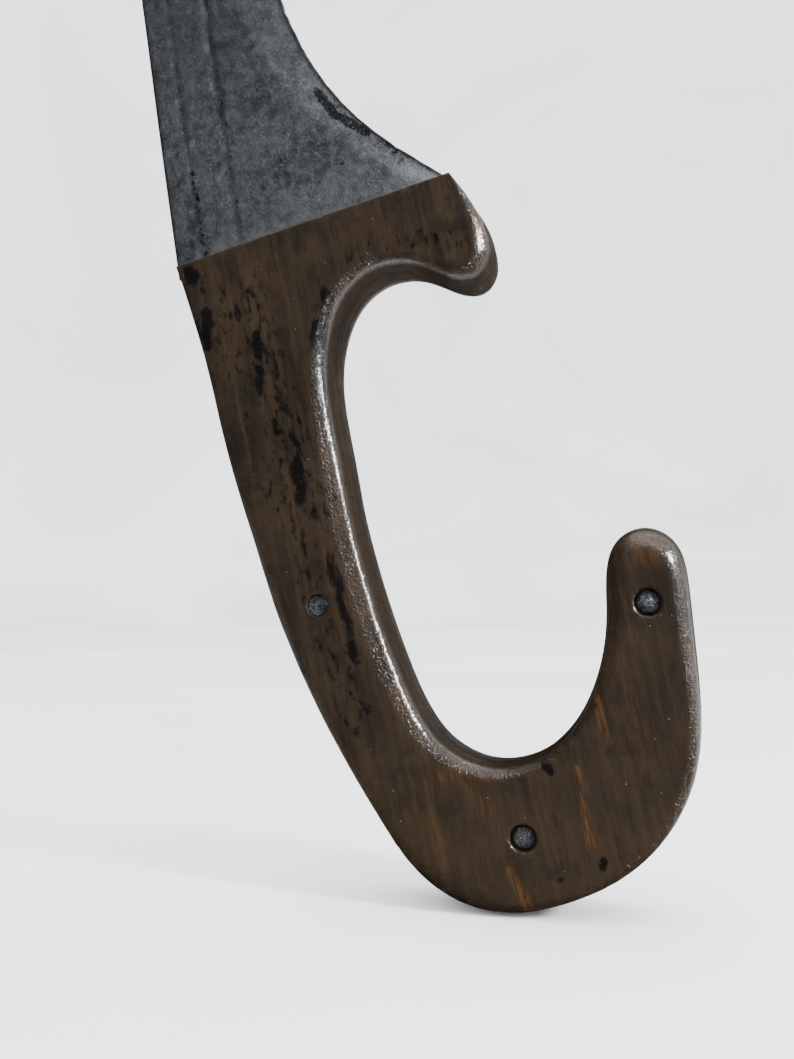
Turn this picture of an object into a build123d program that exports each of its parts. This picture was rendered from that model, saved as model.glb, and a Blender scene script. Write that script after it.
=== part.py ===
from build123d import *
import math
import os

# Falcata-type sword with an open hooked grip.
#
# A forged blade carries a flat tang that turns through the whole hook. Two wooden scales enclose
# the tang and meet on the mid-plane. Three iron rivets, each closed over a burr on the back, clamp
# the stack. Millimetres, +Z up along the blade, +X towards the cutting edge and the fingers,
# -Y out of the front face. The origin is the middle of the grip, on the mid-plane of the tang.

# ---- driving dimensions, mm ------------------------------------------------------------------
HILT_THICKNESS = 19.0
SCALE_THICKNESS = HILT_THICKNESS / 2
SCALE_ROUNDING = 4.2  # radius worn onto the outer edge of each scale
BLADE_THICKNESS = 5.0  # also the tang's
TANG_WIDTH = 13.0
TANG_END_AHEAD = 6.5  # the tang's round end reaches this far past the last rivet's centre
RECESS_CLEARANCE = 0.15  # between the tang's outline and the recess cut for it in the scales

# The line where the blade leaves the scales, from the spine side to the edge side.
HILT_TOP_SPINE = (-28.0, 54.0)
HILT_TOP_EDGE = (33.4, 68.8)

# Rivet centres (x, z), named for where they sit on the grip.
RIVETS = {
    "palm": (5.4, -20.1),
    "heel": (47.6, -64.9),
    "hook": (71.7, -19.1),
}
SHANK_RADIUS = 1.75
HEAD_RADIUS = 2.1
HOLE_CLEARANCE = 0.05
HEAD_DOME = 0.9  # height of the domed head
HEAD_BASE = 0.5  # straight rim under the dome
COUNTERBORE_RADIUS = 2.65
FRONT_COUNTERBORE = 1.8  # depth
BACK_COUNTERBORE = 2.5  # depth: it takes the burr as well as the closed head
BURR_RADIUS = 2.55
BURR_THICKNESS = 0.7
FRONT_SEAT = FRONT_COUNTERBORE - SCALE_THICKNESS  # y of each counterbore's floor
BACK_SEAT = SCALE_THICKNESS - BACK_COUNTERBORE

# The blade's first section lies on the hilt top, and stands past it at both ends.
SPINE_OVERHANG = 2.7
EDGE_OVERHANG = 0.6
BASE_PROFILE = (5.0, 0.93, 2.2)

# The other sections, up to the point: the spine corner and the edge corner (x, z), the thickness
# at the spine, how far across the width the flat runs before the bevel, and the thickness left
# at the edge.
BLADE_SECTIONS = [
    ((-33.4, 70.5), (20.6, 78.8), 5.0, 0.86, 1.8),
    ((-36.0, 87.0), (7.9, 90.4), 5.0, 0.80, 1.5),
    ((-38.6, 104.0), (-1.8, 104.6), 5.0, 0.74, 1.2),
    ((-41.4, 122.0), (-8.4, 120.6), 4.9, 0.68, 1.0),
    ((-45.6, 152.0), (-14.8, 148.6), 4.8, 0.62, 0.8),
    ((-49.2, 190.0), (-17.6, 187.4), 4.7, 0.58, 0.7),
    ((-50.9, 235.0), (-14.4, 236.0), 4.6, 0.58, 0.6),
    ((-50.2, 285.0), (-6.0, 289.5), 4.4, 0.58, 0.6),
    ((-46.8, 335.0), (3.8, 341.5), 4.1, 0.58, 0.6),
    ((-40.6, 385.0), (11.0, 390.0), 3.8, 0.56, 0.6),
    ((-31.6, 430.0), (12.2, 430.5), 3.4, 0.54, 0.6),
    ((-21.6, 466.0), (7.6, 463.0), 3.0, 0.52, 0.6),
    ((-12.4, 490.0), (0.2, 488.0), 2.4, 0.50, 0.6),
    ((-7.4, 501.2), (-5.2, 500.6), 1.2, 0.50, 0.6),
]
SPINE_CHAMFER = 0.6

# Narrow V grooves beside the spine, on both faces: distance from the spine, and the largest share
# of the flat that it may be where the blade is narrow. They fade out at the last grooved section.
GROOVES = [(6.4, 0.40), (15.6, 0.88)]
GROOVE_WIDTH = 1.4
GROOVE_DEPTH = 0.35
LAST_GROOVED = 10

# The outline of the scales on the mid-plane, clockwise from the edge-side corner of the hilt top.
QUILLON = [(37.8, 63.2), (41.0, 56.8), (41.5, 50.9), (38.4, 47.0)]
GUARD_UNDERSIDE = [(33.0, 47.1), (26.0, 50.4), (18.4, 50.9), (11.6, 46.9)]
GRIP_INNER_EDGE = [(7.8, 39.4), (6.7, 31.0), (9.0, 15.5), (12.7, -2.0), (18.2, -21.0), (24.6, -37.6)]
FINGER_BOW = [(31.6, -47.8), (40.6, -51.6), (49.6, -49.8)]
HOOK_INNER_EDGE = [(57.0, -43.4), (61.8, -33.2), (63.5, -22.0), (63.5, -13.8)]
HOOK_TIP = [(65.7, -6.9), (71.4, -4.3), (77.0, -7.2)]
HOOK_OUTER_EDGE = [(79.6, -15.8), (80.8, -29.0), (81.5, -43.0), (80.2, -53.0)]
HEEL = [(75.2, -63.4), (67.2, -71.6), (57.0, -77.4), (45.6, -80.5), (34.0, -79.0), (25.4, -73.6)]
GRIP_OUTER_EDGE = [(16.8, -63.0), (6.4, -46.5), (-2.9, -28.5), (-10.3, -9.1), (-16.7, 11.2), (-22.4, 33.6)]

# The middle of the tang, from under the guard to the last rivet.
TANG_CENTRELINE = [
    (-7.0, 40.0),
    (-4.0, 14.0),
    (RIVETS["palm"][0], RIVETS["palm"][1]),
    (19.5, -48.0),
    (31.5, -61.2),
    (RIVETS["heel"][0], RIVETS["heel"][1]),
    (62.0, -58.0),
    (70.2, -42.0),
    (RIVETS["hook"][0], RIVETS["hook"][1]),
]
# Where the blade narrows to the tang, inside the scales.
TANG_ROOT = [(-21.5, 48.0), (-13.5, 30.0), (0.5, 30.0), (3.4, 46.5), (24.6, 59.5)]
ROOT_INSET = 5.0  # width of each shoulder that bears on the ends of the scales


def vector_xz(point, y=0.0):
    """The place of a flat (x, z) point at depth y."""
    return Vector(point[0], y, point[1])


def flat_face(edges):
    """A face on the mid-plane from a closed chain of edges."""
    return make_face(Wire(edges))


def point_between(start, end, distance):
    """The (x, z) point that lies distance from start on the way to end."""
    span = math.dist(start, end)
    return tuple(a + (b - a) * distance / span for a, b in zip(start, end))


def hilt_outline():
    """The face that both scales are cut from."""
    curve = (
        [HILT_TOP_EDGE]
        + QUILLON
        + GUARD_UNDERSIDE
        + GRIP_INNER_EDGE
        + FINGER_BOW
        + HOOK_INNER_EDGE
        + HOOK_TIP
        + HOOK_OUTER_EDGE
        + HEEL
        + GRIP_OUTER_EDGE
        + [HILT_TOP_SPINE]
    )
    rim = Edge.make_spline([vector_xz(p) for p in curve])
    top = Edge.make_line(vector_xz(HILT_TOP_SPINE), vector_xz(HILT_TOP_EDGE))
    return flat_face([rim, top])


def through_y(face, half):
    """A slab of the face, reaching half its thickness either side of the mid-plane."""
    return extrude(face, amount=half, dir=(0, 1, 0), both=True)


def cylinder_y(radius, centre, start, end):
    """A cylinder along Y about the (x, z) centre, from y = start to y = end."""
    plane = Plane(origin=vector_xz(centre, start), x_dir=(1, 0, 0), z_dir=(0, 1, 0))
    return extrude(plane * Circle(radius), amount=end - start)


def tang_slab(margin, thickness):
    """The tang with its root and round end, grown by margin all round."""
    path = Edge.make_spline([vector_xz(p) for p in TANG_CENTRELINE])
    half_width = TANG_WIDTH / 2 + margin
    across = path.tangent_at(0).cross(Vector(0, 1, 0)).normalized() * half_width
    start = vector_xz(TANG_CENTRELINE[0])
    profile = Edge.make_line(start - across, start + across)
    strip = sweep(profile, path=Wire([path]))
    band = through_y(Face(strip.face().wrapped), thickness / 2)
    root_points = [
        point_between(HILT_TOP_SPINE, HILT_TOP_EDGE, ROOT_INSET),
        *TANG_ROOT,
        point_between(HILT_TOP_EDGE, HILT_TOP_SPINE, ROOT_INSET),
    ]
    outline = Wire.make_polygon([vector_xz(p) for p in root_points], close=True)
    root_face = make_face(outline)
    if margin:
        root_face = make_face(outline.offset_2d(margin, kind=Kind.INTERSECTION))
    root = through_y(root_face, thickness / 2)
    end_radius = TANG_END_AHEAD + margin
    end = cylinder_y(end_radius, RIVETS["hook"], -thickness / 2, thickness / 2)
    return band + root + end


def base_section():
    """The blade's first section, on the line of the hilt top."""
    reach = math.dist(HILT_TOP_SPINE, HILT_TOP_EDGE) + EDGE_OVERHANG
    spine = point_between(HILT_TOP_SPINE, HILT_TOP_EDGE, -SPINE_OVERHANG)
    edge = point_between(HILT_TOP_SPINE, HILT_TOP_EDGE, reach)
    return (spine, edge, *BASE_PROFILE)


def blade_section(section, groove_depth):
    """One cross-section of the blade, as a closed wire with two grooves in each face."""
    spine, edge, thickness, flat_share, edge_thickness = section
    width = math.dist(spine, edge)
    half = thickness / 2
    chamfer = min(SPINE_CHAMFER, width / 8, half / 2)
    flat_end = width * flat_share
    face = [(0.0, half - chamfer), (chamfer, half)]
    for offset, share in GROOVES:
        middle = min(offset, flat_end * share)
        groove_half = min(GROOVE_WIDTH / 2, flat_end / 20)
        face.append((middle - groove_half, half))
        face.append((middle, half - groove_depth))
        face.append((middle + groove_half, half))
    face += [(flat_end, half), (width, edge_thickness / 2)]
    profile = face + [(across, -out) for across, out in reversed(face)]
    corners = [vector_xz(point_between(spine, edge, across), out) for across, out in profile]
    return Wire.make_polygon(corners, close=True)


def build_blade():
    """The forging: blade, shoulders and tang in one piece."""
    sections = [base_section(), *BLADE_SECTIONS]
    wires = []
    for index, section in enumerate(sections):
        fade = 1.0 if index < LAST_GROOVED else 0.0
        wires.append(blade_section(section, GROOVE_DEPTH * fade))
    steel = Part(Solid.make_loft(wires).wrapped) + tang_slab(0.0, BLADE_THICKNESS)
    for centre in RIVETS.values():
        steel -= cylinder_y(SHANK_RADIUS + HOLE_CLEARANCE, centre, -BLADE_THICKNESS, BLADE_THICKNESS)
    return steel


def build_scale(side):
    """One wooden scale: side is -1 for the front and 1 for the back."""
    slab = extrude(hilt_outline(), amount=SCALE_THICKNESS, dir=(0, side, 0))
    outer = slab.faces().sort_by(Axis.Y)[0 if side < 0 else -1]
    top_centre = vector_xz(HILT_TOP_SPINE) + vector_xz(HILT_TOP_EDGE)
    top_edge = outer.edges().sort_by_distance(top_centre * 0.5 + Vector(0, side * SCALE_THICKNESS, 0))[0]
    rim = [edge for edge in outer.edges() if not edge.is_same(top_edge)]
    scale = fillet(rim, SCALE_ROUNDING)
    scale -= tang_slab(RECESS_CLEARANCE, BLADE_THICKNESS)
    floor = FRONT_SEAT if side < 0 else BACK_SEAT
    for centre in RIVETS.values():
        scale -= cylinder_y(SHANK_RADIUS + HOLE_CLEARANCE, centre, -HILT_THICKNESS, HILT_THICKNESS)
        low, high = sorted((floor, side * HILT_THICKNESS))
        scale -= cylinder_y(COUNTERBORE_RADIUS, centre, low, high)
    return scale


def domed_head(centre, seat, side):
    """A rivet head that stands on y = seat and domes towards side."""
    rim_end = seat + side * HEAD_BASE
    low, high = sorted((seat, rim_end))
    base = cylinder_y(HEAD_RADIUS, centre, low, high)
    ball_radius = (HEAD_RADIUS**2 + HEAD_DOME**2) / (2 * HEAD_DOME)
    ball_centre = rim_end + side * (HEAD_DOME - ball_radius)
    ball = Pos(centre[0], ball_centre, centre[1]) * Sphere(ball_radius)
    low, high = sorted((rim_end, rim_end + side * HEAD_DOME))
    return base + (ball & cylinder_y(HEAD_RADIUS, centre, low, high))


def build_rivet(centre):
    """Shank, the set head on the front and the closed head over the burr on the back."""
    closed_seat = BACK_SEAT + BURR_THICKNESS
    shank = cylinder_y(SHANK_RADIUS, centre, FRONT_SEAT, closed_seat)
    return shank + domed_head(centre, FRONT_SEAT, -1) + domed_head(centre, closed_seat, 1)


def build_burr(centre):
    """The washer that the rivet is closed over, in the back scale's counterbore."""
    disc = cylinder_y(BURR_RADIUS, centre, BACK_SEAT, BACK_SEAT + BURR_THICKNESS)
    return disc - cylinder_y(SHANK_RADIUS + HOLE_CLEARANCE, centre, 0.0, HILT_THICKNESS)


def main():
    os.makedirs("parts", exist_ok=True)
    nodes = {
        "blade": build_blade(),
        "grip_scale_front": build_scale(-1),
        "grip_scale_back": build_scale(1),
    }
    for name, centre in RIVETS.items():
        nodes[f"rivet_{name}"] = build_rivet(centre)
        nodes[f"rivet_burr_{name}"] = build_burr(centre)
    for name, shape in nodes.items():
        export_step(shape, f"parts/{name}.step")


main()
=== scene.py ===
import math

import bmesh
import bpy
import numpy as np
from mathutils import Matrix, Vector, geometry, noise
from mathutils.bvhtree import BVHTree
from mathutils.kdtree import KDTree


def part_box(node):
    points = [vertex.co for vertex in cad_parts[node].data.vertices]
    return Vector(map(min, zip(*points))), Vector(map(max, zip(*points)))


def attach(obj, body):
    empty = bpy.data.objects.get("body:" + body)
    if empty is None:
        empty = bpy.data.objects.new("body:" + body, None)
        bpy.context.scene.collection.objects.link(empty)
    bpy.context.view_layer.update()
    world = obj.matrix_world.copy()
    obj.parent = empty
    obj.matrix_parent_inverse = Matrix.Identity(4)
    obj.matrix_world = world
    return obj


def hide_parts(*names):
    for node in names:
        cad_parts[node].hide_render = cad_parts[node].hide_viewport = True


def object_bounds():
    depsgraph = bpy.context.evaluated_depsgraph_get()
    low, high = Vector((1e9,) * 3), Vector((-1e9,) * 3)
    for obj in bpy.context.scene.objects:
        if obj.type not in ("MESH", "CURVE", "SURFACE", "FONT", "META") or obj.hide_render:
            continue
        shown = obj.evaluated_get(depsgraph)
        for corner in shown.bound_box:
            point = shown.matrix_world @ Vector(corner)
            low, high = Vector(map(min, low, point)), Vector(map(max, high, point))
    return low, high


# Looks for the hooked-grip sword. Lengths in the tables below are millimetres in the part's frame:
# +Z up along the blade, +X towards the cutting edge, -Y out of the front face.

MM = 0.001
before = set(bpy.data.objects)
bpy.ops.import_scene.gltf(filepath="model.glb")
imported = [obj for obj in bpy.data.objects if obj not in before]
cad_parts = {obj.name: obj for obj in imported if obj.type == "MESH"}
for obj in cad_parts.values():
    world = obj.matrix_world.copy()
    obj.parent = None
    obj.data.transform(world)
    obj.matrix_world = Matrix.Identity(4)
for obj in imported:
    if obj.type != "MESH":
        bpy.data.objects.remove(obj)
cad_low, cad_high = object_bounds()

# ---- camera, as the object was seen ----
CAMERA_YAW = 14.5  # degrees to the right of square on
CAMERA_PITCH = 3.3  # degrees upwards
CAMERA_TARGET = (20.0, 0.0, -4.0)
CAMERA_DISTANCE = 213.0
CAMERA_LENS = 34.0  # on the 36 mm long side

# ---- colours, linear ----
WOOD_TILT = 13.0  # degrees that the grain leans away from upright
WOOD_DARK = (0.0088, 0.0068, 0.0049)
WOOD_BROWN = (0.0182, 0.0122, 0.0071)
WOOD_LIGHT = (0.0238, 0.0157, 0.0085)
WOOD_MURK = (0.0068, 0.0065, 0.0053)
WOOD_PORE = (0.0056, 0.0046, 0.0036)
WOOD_WARM = (0.036, 0.0178, 0.0068)
WOOD_ORANGE = (0.085, 0.034, 0.007)
WOOD_BLACK = (0.0014, 0.0014, 0.0017)
WOOD_DUST = (0.22, 0.22, 0.20)
STEEL_DARK = (0.0135, 0.0150, 0.0172)
STEEL_GREY = (0.030, 0.0325, 0.0355)
STEEL_PALE = (0.075, 0.080, 0.086)
STEEL_BLACK = (0.0045, 0.0052, 0.0062)
STEEL_WORN = (0.080, 0.084, 0.087)
STEEL_NEAR_BLACK = (0.0025, 0.0025, 0.003)
# painted glints on the blade
STEEL_GLINT = (0.42, 0.44, 0.47)
IRON_DARK = (0.015, 0.0165, 0.019)
IRON_GREY = (0.052, 0.056, 0.062)
# rubbed spots on the rivets, partly wear and partly painted highlight
IRON_RUBBED_GLINT = (0.24, 0.25, 0.27)
CLOTH_WHITE = (0.90, 0.90, 0.905)
CLOTH_SHADE = (0.80, 0.80, 0.81)

# ---- studio: metres ----
STAGE_FLAT = 1.5
STAGE_CORNER = 0.9
STAGE_WALL = 2.3
WORLD_COLOUR = (0.97, 0.98, 1.0)
WORLD_STRENGTH = 3.3
LIGHT_TARGET = (0.02, 0.0, 0.0)
LIGHTS = [  # name, place, size, power, whether it lights matt surfaces or only shows in gloss
    ("key", (0.86, -0.24, 0.42), 0.16, 16.0, True),
    ("glint", (0.85, -0.24, 0.42), 0.12, 85.0, False),
    ("overhead", (0.1, 0.15, 1.7), 1.6, 14.0, True),
]
FLAG_COLOUR = (0.01, 0.01, 0.01)
FLAGS = [  # name, the line of (x, y) points it stands on, its top, the y its foot reaches in to
    ("front_flag", [(1.25, 0.6), (1.25, -1.3), (-1.25, -1.3), (-1.25, 1.5)], 1.6, 0.02),
    ("back_flag", [(-1.1, 0.6), (-1.1, 1.3), (-0.1, 1.3)], 1.2, 0.5),
]
FLAG_LIFT = 0.001  # a flag's foot clears the floor by this

# ---- scales ----
HALF = 9.5  # half the hilt's thickness
WALL_SECTION = 4.0  # depth at which the outline is read: past the tang, short of the rounding
RIM_STEP = 0.55  # between points along the outline
FACE_STEP = 0.62  # between points over the flat of a face
FACE_MARGIN = 0.35  # that those points keep from its border and holes
WEAR_DEPTH = 0.16  # how far the wood is worn in on average
TANG_CLEARANCE = 0.06

# How each stretch of the rim is worn: a place on the outline (x, z), the width and drop of the
# bevel there, how far its two corners are rounded, and how far the side wall bulges.
RIM_WEAR = [
    ((33.4, 68.8), (0.2, 0.2, 0.1, 0.1, 0.0)),
    ((38.0, 63.0), (1.3, 1.2, 0.9, 0.9, 0.2)),
    ((41.5, 54.0), (2.2, 2.4, 1.5, 1.4, 0.5)),
    ((38.4, 47.0), (1.6, 1.9, 1.2, 1.4, 0.5)),
    ((26.0, 50.4), (1.1, 1.2, 0.9, 1.3, 0.4)),
    ((11.6, 46.9), (1.4, 1.4, 1.0, 1.6, 0.5)),
    ((6.7, 31.0), (1.9, 1.6, 1.1, 1.6, 0.8)),
    ((9.0, 15.5), (3.2, 1.7, 1.2, 2.0, 1.0)),
    ((12.7, -2.0), (5.4, 2.0, 1.2, 2.4, 1.1)),
    ((18.2, -21.0), (4.9, 2.0, 1.2, 2.4, 1.1)),
    ((24.6, -37.6), (3.4, 1.7, 1.1, 2.0, 0.9)),
    ((33.0, -48.5), (2.0, 1.5, 1.1, 1.6, 0.6)),
    ((49.6, -49.8), (1.2, 1.3, 1.0, 1.3, 0.5)),
    ((61.8, -33.2), (1.6, 1.6, 1.2, 1.4, 0.5)),
    ((63.5, -15.0), (2.0, 2.1, 1.5, 1.4, 0.5)),
    ((71.4, -4.3), (3.1, 3.1, 2.2, 2.1, 0.7)),
    ((79.6, -15.8), (2.2, 2.2, 1.6, 1.5, 0.5)),
    ((81.5, -43.0), (1.8, 1.8, 1.3, 1.5, 0.4)),
    ((67.2, -71.6), (1.7, 1.7, 1.2, 1.4, 0.4)),
    ((34.0, -79.0), (2.0, 2.0, 1.4, 1.6, 0.5)),
    ((6.4, -46.5), (2.6, 2.5, 1.8, 2.0, 0.8)),
    ((-10.3, -9.1), (2.8, 2.7, 1.9, 2.1, 0.9)),
    ((-22.4, 33.6), (2.2, 2.1, 1.5, 1.8, 0.6)),
    ((-27.3, 51.0), (0.7, 0.7, 0.5, 0.5, 0.1)),
    ((-28.0, 54.0), (0.2, 0.2, 0.1, 0.1, 0.0)),
]
BACK_WEAR = 0.8  # the back's bevel is narrower than the front's by this
PROFILE_POINTS = 26  # of one rim section, from the mid-plane to the flat of the face

# ---- rivets ----
HOLE_RADIUS = {"palm": 2.2, "heel": 2.65, "hook": 2.65}  # on the front, as worn
BACK_HOLE_RADIUS = 2.65
SHANK_HOLE = 1.8
HOLE_LIP = {"palm": 0.16, "heel": 0.5, "hook": 0.5}  # how far a counterbore's worn edge spreads
HEAD_SEAT = 1.8  # depth of the front counterbores
HEAD_CROWN = {"palm": 0.25, "heel": 0.95, "hook": 0.95}  # how far a front head rises from its rim
BORE_POINTS = 56  # round a counterbore
SHANK_POINTS = 40
LATHE_POINTS = 48  # round a rivet or burr
SHARP_ANGLE = 50  # degrees: a rivet's or burr's sharper edges stay crisp

# ---- blade ----
GROOVES = [(6.4, 0.14), (15.6, 0.11)]  # distance from the spine, depth
GROOVE_SPREAD = 0.85
GROOVE_END = 405.0  # height at which they have faded out
GROOVE_FADE = 70.0  # and the length over which they do
FULL_WIDTH = 30.0  # where the blade is narrower, the grooves move in towards the spine
HILT_RISE = 15.5  # the hilt's top line climbs this much from the spine to the edge
HILT_RISE_FADE = 22.0  # and the mesh's rows level out over this height
SPINE_ROUND = 0.9
EDGE_ROUND = 0.35

# Where the CAD blade's thickness is read, clear of its own grooves: distances from the spine, and
# the shares of the width between which it is read evenly.
CLEAR_OF_GROOVES = [1.4, 2.6, 4.2, 9.0, 11.0, 13.0, 18.4]
CLEAR_SHARES = (0.36, 0.985)
BROAD_POINTS = 46  # across the blade, from the second groove to its edge

# ---- marks on the surfaces: from (x, z), to (x, z), radius, strength ----
WOOD_STAINS_AND_SHADE = [
    ((-24.4, 51.8), (-23.8, 51.0), 2.4, 1.0),
    ((-20.2, 43.0), (-20.0, 36.0), 1.9, 0.9),
    ((-22.9, 41.0), (-22.6, 38.0), 1.3, 0.8),
    ((-8.6, 37.5), (-8.1, 33.0), 1.5, 0.9),
    ((-8.2, 30.5), (-7.6, 24.6), 1.2, 0.8),
    ((-4.4, 18.6), (-3.4, 16.4), 1.3, 0.85),
    ((-0.6, 15.4), (1.0, 13.6), 1.2, 0.8),
    ((0.6, 10.2), (1.9, 2.4), 2.1, 0.85),
    ((-12.0, 46.0), (4.0, 0.0), 9.0, 0.50),
    ((-20.0, 48.0), (-6.0, 4.0), 6.0, 0.42),
    ((-2.0, 2.0), (14.0, -44.0), 7.0, 0.44),
    # these rows darken the grip's inner ridge: partly stain, partly painted shade beside its
    # highlight
    ((7.0, 44.0), (11.0, 8.0), 4.5, 0.62),
    ((6.0, 38.0), (6.9, 31.0), 3.4, 0.9),
    ((7.0, 31.0), (9.6, 14.0), 3.6, 0.8),
    ((9.6, 14.0), (12.4, 4.0), 3.0, 0.75),
    ((8.0, -10.0), (13.8, -31.1), 2.0, 0.7),
    ((52.0, -50.6), (53.0, -51.6), 1.4, 0.9),
    ((54.5, -72.4), (55.0, -72.0), 0.9, 0.9),
    ((62.6, -69.2), (63.0, -68.0), 1.1, 0.8),
    # these two rows are a painted dark reflection along the guard's underside ridge
    ((12.0, 52.6), (22.0, 55.6), 3.4, 0.46),
    ((24.0, 55.6), (38.0, 53.6), 3.6, 0.48),
]
WOOD_STREAKS = [
    ((61.8, -37.6), (64.0, -45.7), 1.0, 0.7),
    ((58.1, -51.2), (60.6, -65.4), 0.9, 0.75),
    ((45.5, -71.3), (48.5, -77.9), 1.1, 0.95),
    ((34.3, -51.3), (43.2, -63.4), 1.6, 0.3),
    ((31.3, -53.5), (43.2, -53.0), 1.6, 0.35),
    ((71.3, -6.3), (71.6, -9.5), 2.6, 0.5),
    ((39.8, 60.0), (40.6, 57.0), 1.6, 0.8),
    ((66.0, -30.0), (70.0, -48.0), 2.6, 0.2),
    ((27.0, -60.0), (33.0, -70.0), 2.2, 0.2),
]
BLADE_STAINS = [
    ((2.0, 93.4), (6.4, 87.4), 1.3, 1.1),
    ((7.6, 87.0), (13.4, 82.8), 1.3, 1.1),
    ((4.0, 92.0), (9.4, 85.6), 2.0, 0.5),
    ((-3.5, 108.2), (-3.3, 107.6), 0.8, 0.9),
    ((18.0, 80.1), (21.3, 75.6), 1.8, 0.6),
    ((-24.2, 60.5), (-27.6, 78.0), 1.3, 0.5),
    ((-27.6, 78.0), (-31.8, 100.0), 0.8, 0.42),
    ((-24.2, 59.0), (-25.0, 66.0), 2.6, 0.42),
    ((-14.8, 60.0), (-22.0, 104.0), 0.7, 0.45),
    ((-16.4, 60.5), (-24.0, 104.0), 0.7, 0.4),
    ((-30.0, 70.0), (-40.0, 118.0), 9.0, 0.3),
    ((-6.0, 80.0), (-14.0, 118.0), 10.0, 0.3),
    ((-2.0, 70.0), (8.0, 76.0), 4.0, 0.34),
]
BLADE_WORN = [
    ((-24.0, 58.6), (30.0, 71.2), 3.0, 0.75),
    ((21.5, 71.8), (30.5, 71.0), 3.4, 1.0),
    ((-2.0, 66.0), (12.0, 72.0), 6.0, 0.5),
]
STAIN_AND_SHADE_DEPTH = 7.5  # the wood's stains and painted shade, and its streaks, fade out towards the mid-plane from these depths
STREAK_DEPTH = 7.0


def mm_box(node):
    """A CAD node's lowest and highest corners, in millimetres."""
    low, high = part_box(node)
    return np.array(low) / MM, np.array(high) / MM


def rivet_centre(name):
    """The (x, z) centre of a rivet, from its CAD node."""
    low, high = mm_box(f"rivet_{name}")
    middle = (low + high) / 2
    return np.array([middle[0], middle[2]])


def welded(node):
    """A bmesh of a CAD node with its split corners joined, in millimetres."""
    bm = bmesh.new()
    bm.from_mesh(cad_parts[node].data)
    bmesh.ops.scale(bm, vec=(1 / MM,) * 3, verts=bm.verts)
    bmesh.ops.remove_doubles(bm, verts=bm.verts, dist=0.001)
    return bm


def cut_edges(bm, place, normal, keep_outer=True):
    """Cuts a bmesh along a plane, and lists the edges on it."""
    everything = bm.verts[:] + bm.edges[:] + bm.faces[:]
    plane = {"plane_co": place, "plane_no": normal, "clear_outer": not keep_outer}
    cut = bmesh.ops.bisect_plane(bm, geom=everything, **plane)
    return [e for e in cut["geom_cut"] if isinstance(e, bmesh.types.BMEdge)]


def section_loop(node, depth):
    """The longest loop of the node's section at y = depth, as (x, z) points, anticlockwise."""
    bm = welded(node)
    beside = {}
    for edge in cut_edges(bm, (0, depth, 0), (0, 1, 0)):
        a, b = edge.verts
        beside.setdefault(a, []).append(b)
        beside.setdefault(b, []).append(a)
    loops = []
    while beside:
        start = next(iter(beside))
        loop, here = [start], start
        while True:
            onward = [v for v in beside.pop(here, []) if v in beside]
            if not onward:
                break
            here = onward[0]
            loop.append(here)
        loops.append(np.array([(v.co.x, v.co.z) for v in loop]))
    bm.free()
    longest = max(loops, key=lambda p: np.linalg.norm(p - np.roll(p, 1, 0), axis=1).sum())
    after = np.roll(longest, -1, 0)
    area = (longest[:, 0] * after[:, 1] - longest[:, 1] * after[:, 0]).sum()
    return longest if area > 0 else longest[::-1]


def resampled(points, spacing):
    """Points evenly spaced along an open line."""
    lengths = np.linalg.norm(np.diff(points, axis=0), axis=1)
    along = np.concatenate([[0], np.cumsum(lengths)])
    wanted = np.linspace(0, along[-1], max(2, round(along[-1] / spacing) + 1))
    return np.stack([np.interp(wanted, along, points[:, i]) for i in range(2)], axis=1)


def smoothed(points, rounds):
    """An open line with its small kinks taken out and its ends held."""
    out = points.copy()
    for _ in range(rounds):
        out[1:-1] = 0.25 * out[:-2] + 0.5 * out[1:-1] + 0.25 * out[2:]
    return out


def inside(points, loop):
    """Which points lie inside a closed loop."""
    a, b = loop, np.roll(loop, -1, 0)
    x, y = points[:, :1], points[:, 1:]
    spans = (a[:, 1] > y) != (b[:, 1] > y)
    rise = np.where(b[:, 1] == a[:, 1], 1e-9, b[:, 1] - a[:, 1])
    crossing = a[:, 0] + (y - a[:, 1]) * (b[:, 0] - a[:, 0]) / rise
    return (spans & (x < crossing)).sum(1) % 2 == 1


def smoothstep(x, low, high):
    """0 below low, 1 above high, and eased between them."""
    t = np.clip((x - low) / (high - low), 0, 1)
    return t * t * (3 - 2 * t)


def noise_at(points, size, seed):
    """Smooth noise from about -1 to 1 at each point, with features about size long."""
    shift = Vector((seed * 7.13, seed * 3.71, seed * 5.37))
    return np.array([noise.noise(Vector(p) / size + shift) for p in points])


def ring(centre, radius, depth, count):
    """A circle of vertices about an axis along Y."""
    angles = np.linspace(0, 2 * math.pi, count, endpoint=False)
    x, z = centre
    return [(x + radius * math.cos(a), depth, z + radius * math.sin(a)) for a in angles]


def band(a, b, count):
    """Quads between two closed rings, whose vertices start at a and at b."""
    around = [(i, (i + 1) % count) for i in range(count)]
    return [(a + i, a + j, b + j, b + i) for i, j in around]


def fan(start, count, hub):
    """Triangles from a closed ring, whose vertices begin at start, to one vertex."""
    return [(start + i, start + (i + 1) % count, hub) for i in range(count)]


def new_object(name, data):
    """An object of that mesh, light or camera, in the scene."""
    obj = bpy.data.objects.new(name, data)
    bpy.context.scene.collection.objects.link(obj)
    return obj


def object_of(bm, name):
    """An object made from a millimetre bmesh, which is then freed."""
    mesh = bpy.data.meshes.new(name)
    bm.to_mesh(mesh)
    bm.free()
    mesh.transform(Matrix.Scale(MM, 4))
    return new_object(name, mesh)


def make_object(name, vertices, faces, material, smooth_angle=None):
    """A mesh object from millimetre vertices."""
    mesh = bpy.data.meshes.new(name)
    mesh.from_pydata([tuple(v) for v in np.asarray(vertices) * MM], [], faces)
    mesh.validate()
    mesh.polygons.foreach_set("use_smooth", [True] * len(mesh.polygons))
    if smooth_angle is not None:
        mesh.set_sharp_from_angle(angle=math.radians(smooth_angle))
    mesh.materials.append(material)
    return new_object(name, mesh)


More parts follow.
